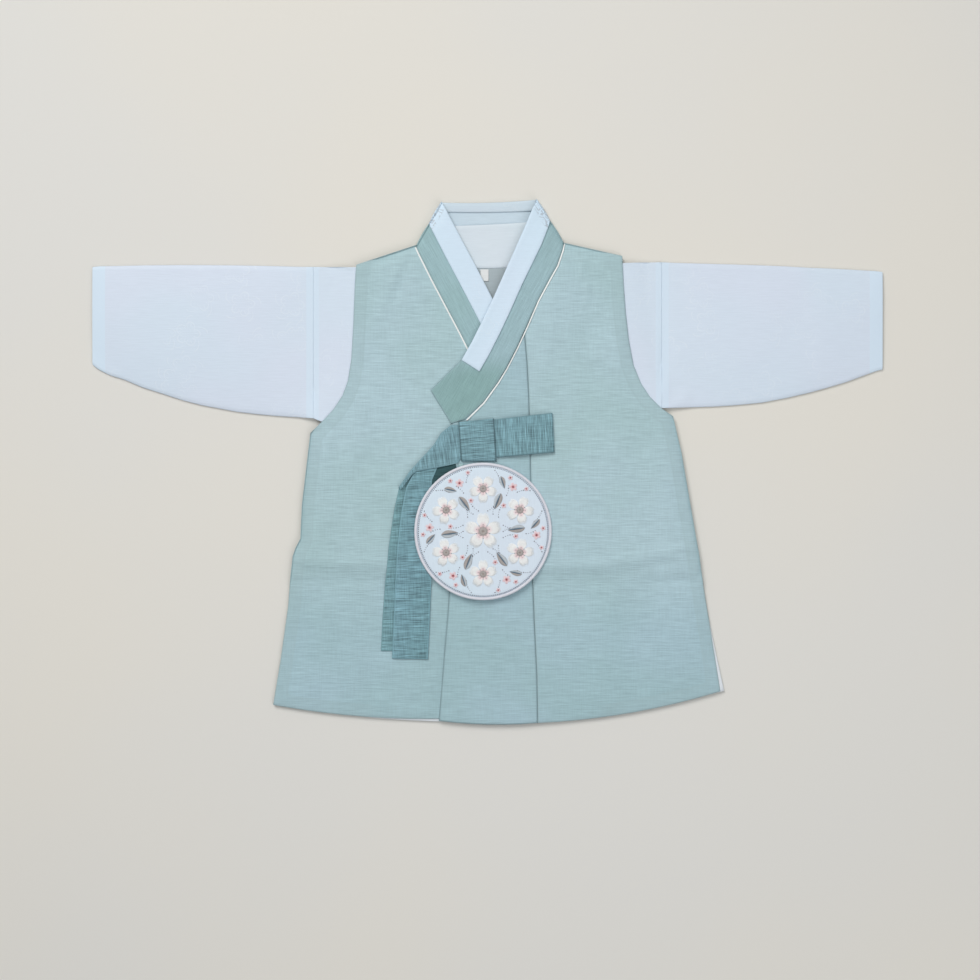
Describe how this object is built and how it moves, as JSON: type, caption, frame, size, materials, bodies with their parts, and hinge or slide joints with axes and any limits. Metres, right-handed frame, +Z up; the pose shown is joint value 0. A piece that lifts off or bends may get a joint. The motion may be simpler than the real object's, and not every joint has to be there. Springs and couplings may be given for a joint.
{
  "type": "korean hanbok",
  "caption": "Child's hanbok laid flat: long sage vest with crossed collar and tied goreum over a pale satin jeogori, with a round padded ornament at the knot.",
  "frame": {"origin": "middle of the bounding box at its underside, on the surface that the garment lies on", "axes": "+X from the wearer's right sleeve to the left sleeve (the viewer's right), +Y from the hem to the collar, +Z up out of the garment's front"},
  "size_m": [0.791, 0.5252, 0.0134],
  "materials": {
    "vest_cloth": "slubbed matt silk",
    "collar_cloth": "slubbed matt silk",
    "tie_cloth": "slubbed matt silk",
    "jeogori_cloth": "satin with tone-on-tone flowers",
    "lining_cloth": "smooth lining",
    "collar_band": "satin",
    "piping": "satin",
    "ornament_ground": "embroidered satin",
    "ornament_rim": "satin cord",
    "label": "woven tape"
  },
  "bodies": {
    "root": {"vest_back": "vest_cloth", "vest_back_lining": "lining_cloth", "vest_front_right": "vest_cloth", "vest_front_left": "vest_cloth", "vest_overlap": "vest_cloth", "jeogori_back": "lining_cloth", "jeogori_front_right": "jeogori_cloth", "jeogori_front_left": "jeogori_cloth", "jeogori_neck_facing": "lining_cloth", "label": "label", "sleeve_right": "jeogori_cloth", "sleeve_left": "jeogori_cloth", "collar_right": "collar_cloth", "collar_left": "collar_cloth", "collar_back": "collar_cloth", "band_right": "collar_band", "band_left": "collar_band", "band_back": "collar_band", "piping_right": "piping", "piping_left": "piping", "goreum_knot": "tie_cloth", "goreum_loop": "tie_cloth", "goreum_turn": "tie_cloth", "goreum_tail_front": "tie_cloth", "goreum_tail_back": "tie_cloth", "ornament_hanger": "collar_cloth", "ornament_disc": "ornament_ground", "ornament_rim": "ornament_rim"}
  },
  "joints": []
}
